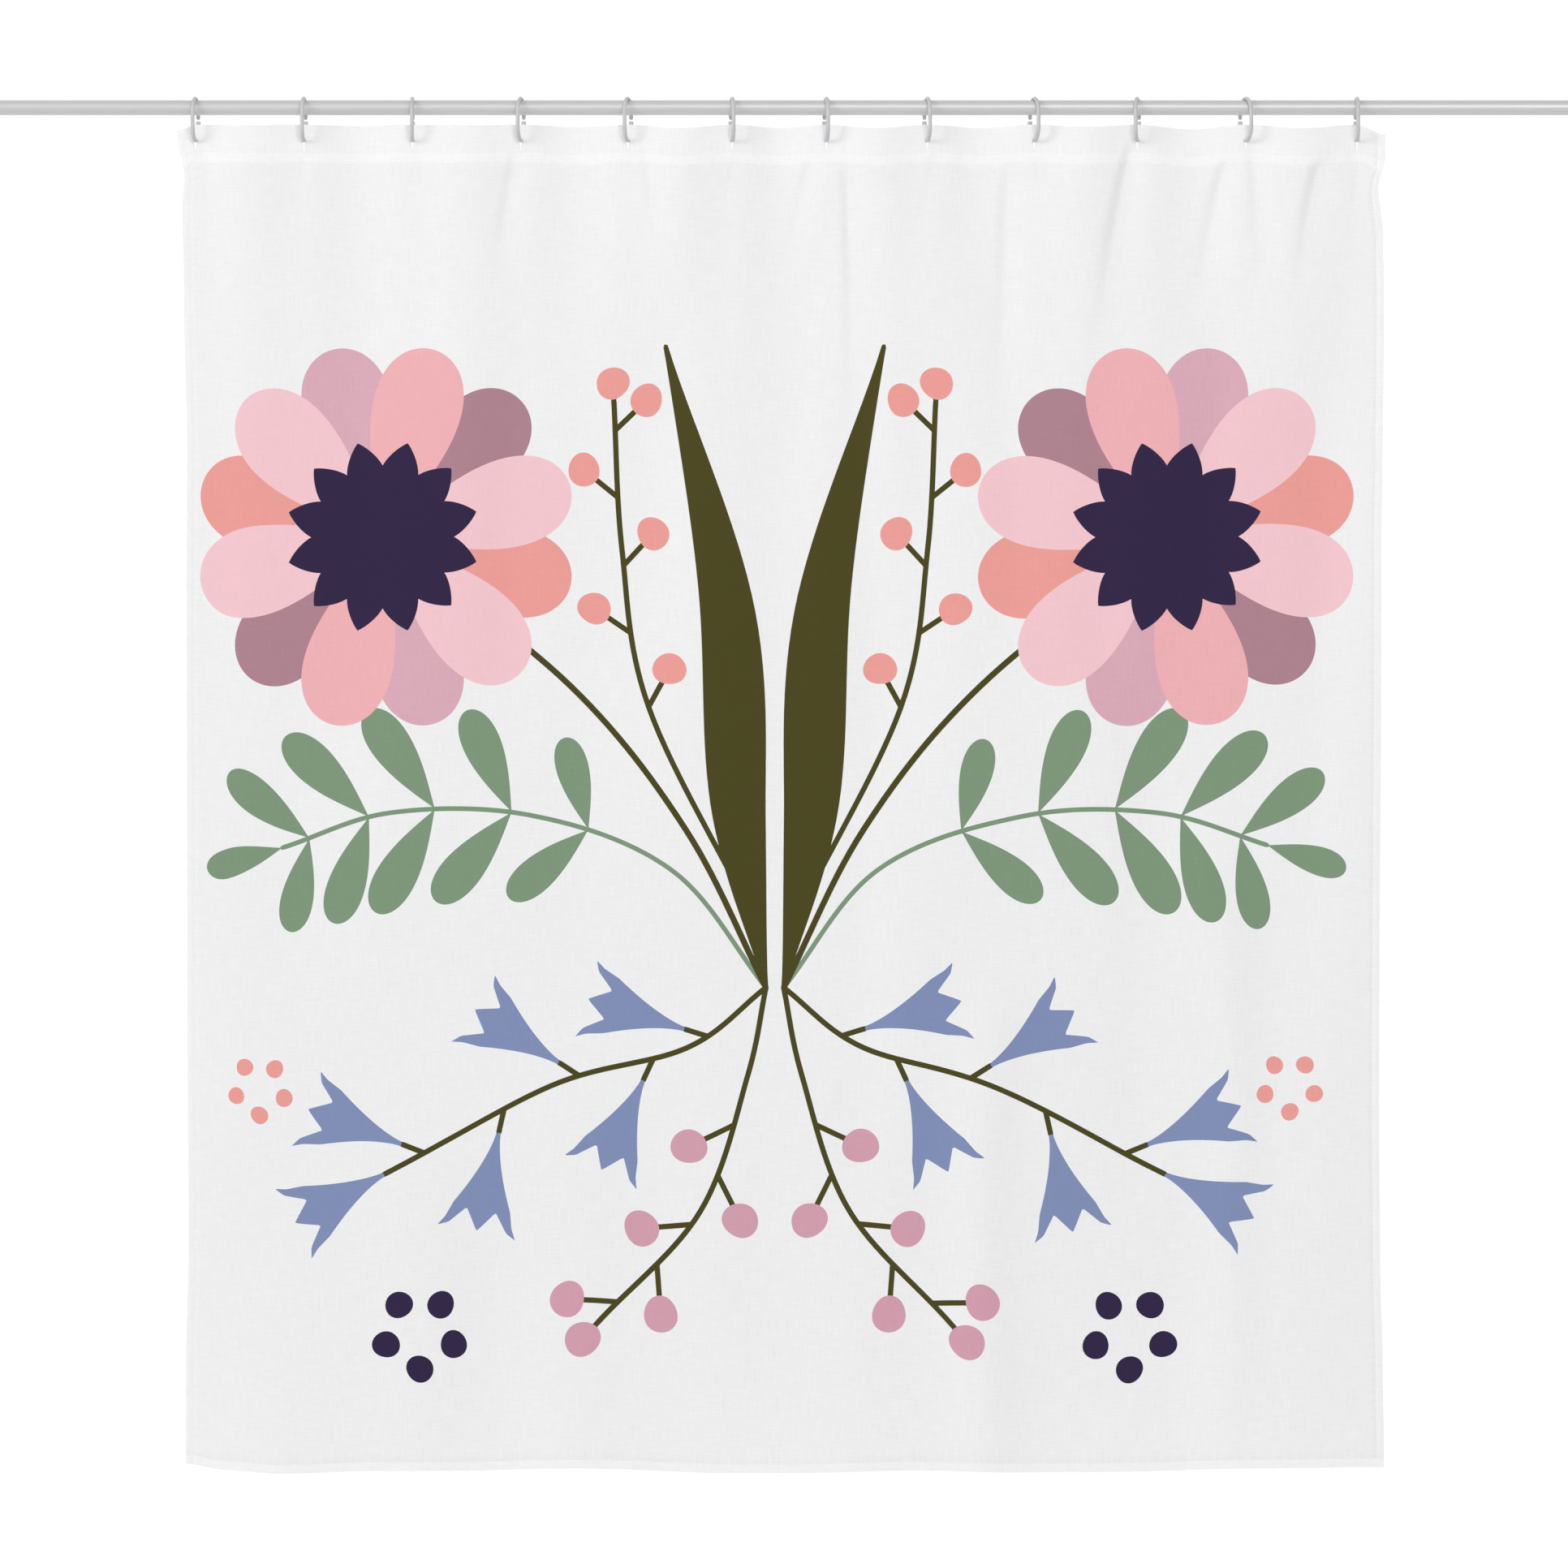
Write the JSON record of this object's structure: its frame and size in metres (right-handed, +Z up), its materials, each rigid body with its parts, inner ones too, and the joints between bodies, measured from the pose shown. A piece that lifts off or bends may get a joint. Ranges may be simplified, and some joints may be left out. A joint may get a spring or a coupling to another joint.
{
  "type": "shower curtain",
  "caption": "Fabric shower curtain with a printed floral front and a wide top hem, hung by snap rings from a straight rail between two wall flanges.",
  "frame": {"origin": "on the rail's axis, halfway between the two walls", "axes": "+X along the rail to the right as seen from the printed side, -Y towards the viewer of the printed side, +Z up"},
  "size_m": [2.42, 0.058, 2.031],
  "materials": {
    "rail_metal": "satin",
    "screw_steel": "satin",
    "ring_plastic": "satin",
    "cloth": "matte, printed"
  },
  "bodies": {
    "rail": {"rail_tube": "rail_metal", "flange_left": "rail_metal", "flange_right": "rail_metal", "grub_screw_left": "screw_steel", "grub_screw_right": "screw_steel"},
    "ring_01": {"ring_01": "ring_plastic", "cloth_at_ring_01": "cloth"},
    "clip_01": {"clip_01": "ring_plastic"},
    "fold_01": {"cloth_fold_01": "cloth"},
    "ring_02": {"ring_02": "ring_plastic", "cloth_at_ring_02": "cloth"},
    "clip_02": {"clip_02": "ring_plastic"},
    "fold_02": {"cloth_fold_02": "cloth"},
    "ring_03": {"ring_03": "ring_plastic", "cloth_at_ring_03": "cloth"},
    "clip_03": {"clip_03": "ring_plastic"},
    "fold_03": {"cloth_fold_03": "cloth"},
    "ring_04": {"ring_04": "ring_plastic", "cloth_at_ring_04": "cloth"},
    "clip_04": {"clip_04": "ring_plastic"},
    "fold_04": {"cloth_fold_04": "cloth"},
    "ring_05": {"ring_05": "ring_plastic", "cloth_at_ring_05": "cloth"},
    "clip_05": {"clip_05": "ring_plastic"},
    "fold_05": {"cloth_fold_05": "cloth"},
    "ring_06": {"ring_06": "ring_plastic", "cloth_at_ring_06": "cloth"},
    "clip_06": {"clip_06": "ring_plastic"},
    "fold_06": {"cloth_fold_06": "cloth"},
    "ring_07": {"ring_07": "ring_plastic", "cloth_at_ring_07": "cloth"},
    "clip_07": {"clip_07": "ring_plastic"},
    "fold_07": {"cloth_fold_07": "cloth"},
    "ring_08": {"ring_08": "ring_plastic", "cloth_at_ring_08": "cloth"},
    "clip_08": {"clip_08": "ring_plastic"},
    "fold_08": {"cloth_fold_08": "cloth"},
    "ring_09": {"ring_09": "ring_plastic", "cloth_at_ring_09": "cloth"},
    "clip_09": {"clip_09": "ring_plastic"},
    "fold_09": {"cloth_fold_09": "cloth"},
    "ring_10": {"ring_10": "ring_plastic", "cloth_at_ring_10": "cloth"},
    "clip_10": {"clip_10": "ring_plastic"},
    "fold_10": {"cloth_fold_10": "cloth"},
    "ring_11": {"ring_11": "ring_plastic", "cloth_at_ring_11": "cloth"},
    "clip_11": {"clip_11": "ring_plastic"},
    "fold_11": {"cloth_fold_11": "cloth"},
    "ring_12": {"ring_12": "ring_plastic", "cloth_at_ring_12": "cloth"},
    "clip_12": {"clip_12": "ring_plastic"}
  },
  "joints": [
    {"name": "curtain_shift", "type": "slide", "parent": "rail", "child": "ring_01", "axis": [1, 0, 0], "range_m": [-0.28, 0.28]},
    {"name": "curtain_draw", "type": "slide", "parent": "ring_01", "child": "fold_01", "axis": [-0.6555, -0.7552, 0], "range_m": [0, 0.09534], "deforming": ["cloth_fold_01", "cloth_at_ring_01"]},
    {"name": "ring_02_gather", "type": "slide", "parent": "fold_01", "child": "ring_02", "axis": [-0.6555, 0.7552, 0], "range_m": [0, 0.09534], "deforming": ["cloth_at_ring_02"]},
    {"name": "fold_02_gather", "type": "slide", "parent": "ring_02", "child": "fold_02", "axis": [-0.6555, 0.7552, 0], "range_m": [0, 0.09534], "deforming": ["cloth_fold_02"]},
    {"name": "ring_03_gather", "type": "slide", "parent": "fold_02", "child": "ring_03", "axis": [-0.6555, -0.7552, 0], "range_m": [0, 0.09534], "deforming": ["cloth_at_ring_03"]},
    {"name": "fold_03_gather", "type": "slide", "parent": "ring_03", "child": "fold_03", "axis": [-0.6555, -0.7552, 0], "range_m": [0, 0.09534], "deforming": ["cloth_fold_03"]},
    {"name": "ring_04_gather", "type": "slide", "parent": "fold_03", "child": "ring_04", "axis": [-0.6555, 0.7552, 0], "range_m": [0, 0.09534], "deforming": ["cloth_at_ring_04"]},
    {"name": "fold_04_gather", "type": "slide", "parent": "ring_04", "child": "fold_04", "axis": [-0.6495, 0.7604, 0], "range_m": [0, 0.09469], "deforming": ["cloth_fold_04"]},
    {"name": "ring_05_gather", "type": "slide", "parent": "fold_04", "child": "ring_05", "axis": [-0.6495, -0.7604, 0], "range_m": [0, 0.09469], "deforming": ["cloth_at_ring_05"]},
    {"name": "fold_05_gather", "type": "slide", "parent": "ring_05", "child": "fold_05", "axis": [-0.637, -0.7708, 0], "range_m": [0, 0.0934], "deforming": ["cloth_fold_05"]},
    {"name": "ring_06_gather", "type": "slide", "parent": "fold_05", "child": "ring_06", "axis": [-0.637, 0.7708, 0], "range_m": [0, 0.0934], "deforming": ["cloth_at_ring_06"]},
    {"name": "fold_06_gather", "type": "slide", "parent": "ring_06", "child": "fold_06", "axis": [-0.5855, 0.8107, 0], "range_m": [0, 0.08881], "deforming": ["cloth_fold_06"]},
    {"name": "ring_07_gather", "type": "slide", "parent": "fold_06", "child": "ring_07", "axis": [-0.5855, -0.8107, 0], "range_m": [0, 0.08881], "deforming": ["cloth_at_ring_07"]},
    {"name": "fold_07_gather", "type": "slide", "parent": "ring_07", "child": "fold_07", "axis": [-0.6207, -0.784, 0], "range_m": [0, 0.09183], "deforming": ["cloth_fold_07"]},
    {"name": "ring_08_gather", "type": "slide", "parent": "fold_07", "child": "ring_08", "axis": [-0.6207, 0.784, 0], "range_m": [0, 0.09183], "deforming": ["cloth_at_ring_08"]},
    {"name": "fold_08_gather", "type": "slide", "parent": "ring_08", "child": "fold_08", "axis": [-0.6495, 0.7604, 0], "range_m": [0, 0.09469], "deforming": ["cloth_fold_08"]},
    {"name": "ring_09_gather", "type": "slide", "parent": "fold_08", "child": "ring_09", "axis": [-0.6495, -0.7604, 0], "range_m": [0, 0.09469], "deforming": ["cloth_at_ring_09"]},
    {"name": "fold_09_gather", "type": "slide", "parent": "ring_09", "child": "fold_09", "axis": [-0.6306, -0.7761, 0], "range_m": [0, 0.09277], "deforming": ["cloth_fold_09"]},
    {"name": "ring_10_gather", "type": "slide", "parent": "fold_09", "child": "ring_10", "axis": [-0.6306, 0.7761, 0], "range_m": [0, 0.09277], "deforming": ["cloth_at_ring_10"]},
    {"name": "fold_10_gather", "type": "slide", "parent": "ring_10", "child": "fold_10", "axis": [-0.6555, 0.7552, 0], "range_m": [0, 0.09534], "deforming": ["cloth_fold_10"]},
    {"name": "ring_11_gather", "type": "slide", "parent": "fold_10", "child": "ring_11", "axis": [-0.6555, -0.7552, 0], "range_m": [0, 0.09534], "deforming": ["cloth_at_ring_11"]},
    {"name": "fold_11_gather", "type": "slide", "parent": "ring_11", "child": "fold_11", "axis": [-0.6672, -0.7448, 0], "range_m": [0, 0.09667], "deforming": ["cloth_fold_11"]},
    {"name": "ring_12_gather", "type": "slide", "parent": "fold_11", "child": "ring_12", "axis": [-0.6672, 0.7448, 0], "range_m": [0, 0.09667], "deforming": ["cloth_at_ring_12"]},
    {"name": "clip_01_snap", "type": "hinge", "parent": "ring_01", "child": "clip_01", "pos_m": [-0.863, 0, 0.0161], "axis": [0.9925, -0.1219, 0], "range_deg": [0, 30], "stiffness_Nm_per_rad": 0.15},
    {"name": "clip_02_snap", "type": "hinge", "parent": "ring_02", "child": "clip_02", "pos_m": [-0.704, 0, 0.0161], "axis": [0.9976, -0.0698, 0], "range_deg": [0, 30], "stiffness_Nm_per_rad": 0.15},
    {"name": "clip_03_snap", "type": "hinge", "parent": "ring_03", "child": "clip_03", "pos_m": [-0.545, 0, 0.0161], "axis": [0.9998, 0.0175, 0], "range_deg": [0, 30], "stiffness_Nm_per_rad": 0.15},
    {"name": "clip_04_snap", "type": "hinge", "parent": "ring_04", "child": "clip_04", "pos_m": [-0.386, 0, 0.0161], "axis": [0.9848, -0.1736, 0], "range_deg": [0, 30], "stiffness_Nm_per_rad": 0.15},
    {"name": "clip_05_snap", "type": "hinge", "parent": "ring_05", "child": "clip_05", "pos_m": [-0.229, 0, 0.0161], "axis": [0.9781, -0.2079, 0], "range_deg": [0, 30], "stiffness_Nm_per_rad": 0.15},
    {"name": "clip_06_snap", "type": "hinge", "parent": "ring_06", "child": "clip_06", "pos_m": [-0.076, 0, 0.0161], "axis": [0.9945, 0.1045, 0], "range_deg": [0, 30], "stiffness_Nm_per_rad": 0.15},
    {"name": "clip_07_snap", "type": "hinge", "parent": "ring_07", "child": "clip_07", "pos_m": [0.062, 0, 0.0161], "axis": [0.9925, 0.1219, 0], "range_deg": [0, 30], "stiffness_Nm_per_rad": 0.15},
    {"name": "clip_08_snap", "type": "hinge", "parent": "ring_08", "child": "clip_08", "pos_m": [0.21, 0, 0.0161], "axis": [0.9848, 0.1736, 0], "range_deg": [0, 30], "stiffness_Nm_per_rad": 0.15},
    {"name": "clip_09_snap", "type": "hinge", "parent": "ring_09", "child": "clip_09", "pos_m": [0.367, 0, 0.0161], "axis": [0.9659, 0.2588, 0], "range_deg": [0, 30], "stiffness_Nm_per_rad": 0.15},
    {"name": "clip_10_snap", "type": "hinge", "parent": "ring_10", "child": "clip_10", "pos_m": [0.518, 0, 0.0161], "axis": [0.9877, -0.1564, 0], "range_deg": [0, 30], "stiffness_Nm_per_rad": 0.15},
    {"name": "clip_11_snap", "type": "hinge", "parent": "ring_11", "child": "clip_11", "pos_m": [0.677, 0, 0.0161], "axis": [0.9455, 0.3256, 0], "range_deg": [0, 30], "stiffness_Nm_per_rad": 0.15},
    {"name": "clip_12_snap", "type": "hinge", "parent": "ring_12", "child": "clip_12", "pos_m": [0.84, 0, 0.0161], "axis": [0.9998, 0.0175, 0], "range_deg": [0, 30], "stiffness_Nm_per_rad": 0.15}
  ],
  "couplings": [
    {"joint": "ring_02_gather", "follows": "curtain_draw", "ratio": 1},
    {"joint": "fold_02_gather", "follows": "curtain_draw", "ratio": 1},
    {"joint": "ring_03_gather", "follows": "curtain_draw", "ratio": 1},
    {"joint": "fold_03_gather", "follows": "curtain_draw", "ratio": 1},
    {"joint": "ring_04_gather", "follows": "curtain_draw", "ratio": 1},
    {"joint": "fold_04_gather", "follows": "curtain_draw", "ratio": 0.99316},
    {"joint": "ring_05_gather", "follows": "curtain_draw", "ratio": 0.99316},
    {"joint": "fold_05_gather", "follows": "curtain_draw", "ratio": 0.97966},
    {"joint": "ring_06_gather", "follows": "curtain_draw", "ratio": 0.97966},
    {"joint": "fold_06_gather", "follows": "curtain_draw", "ratio": 0.93153},
    {"joint": "ring_07_gather", "follows": "curtain_draw", "ratio": 0.93153},
    {"joint": "fold_07_gather", "follows": "curtain_draw", "ratio": 0.96317},
    {"joint": "ring_08_gather", "follows": "curtain_draw", "ratio": 0.96317},
    {"joint": "fold_08_gather", "follows": "curtain_draw", "ratio": 0.99316},
    {"joint": "ring_09_gather", "follows": "curtain_draw", "ratio": 0.99316},
    {"joint": "fold_09_gather", "follows": "curtain_draw", "ratio": 0.97301},
    {"joint": "ring_10_gather", "follows": "curtain_draw", "ratio": 0.97301},
    {"joint": "fold_10_gather", "follows": "curtain_draw", "ratio": 1},
    {"joint": "ring_11_gather", "follows": "curtain_draw", "ratio": 1},
    {"joint": "fold_11_gather", "follows": "curtain_draw", "ratio": 1.0139},
    {"joint": "ring_12_gather", "follows": "curtain_draw", "ratio": 1.0139}
  ]
}
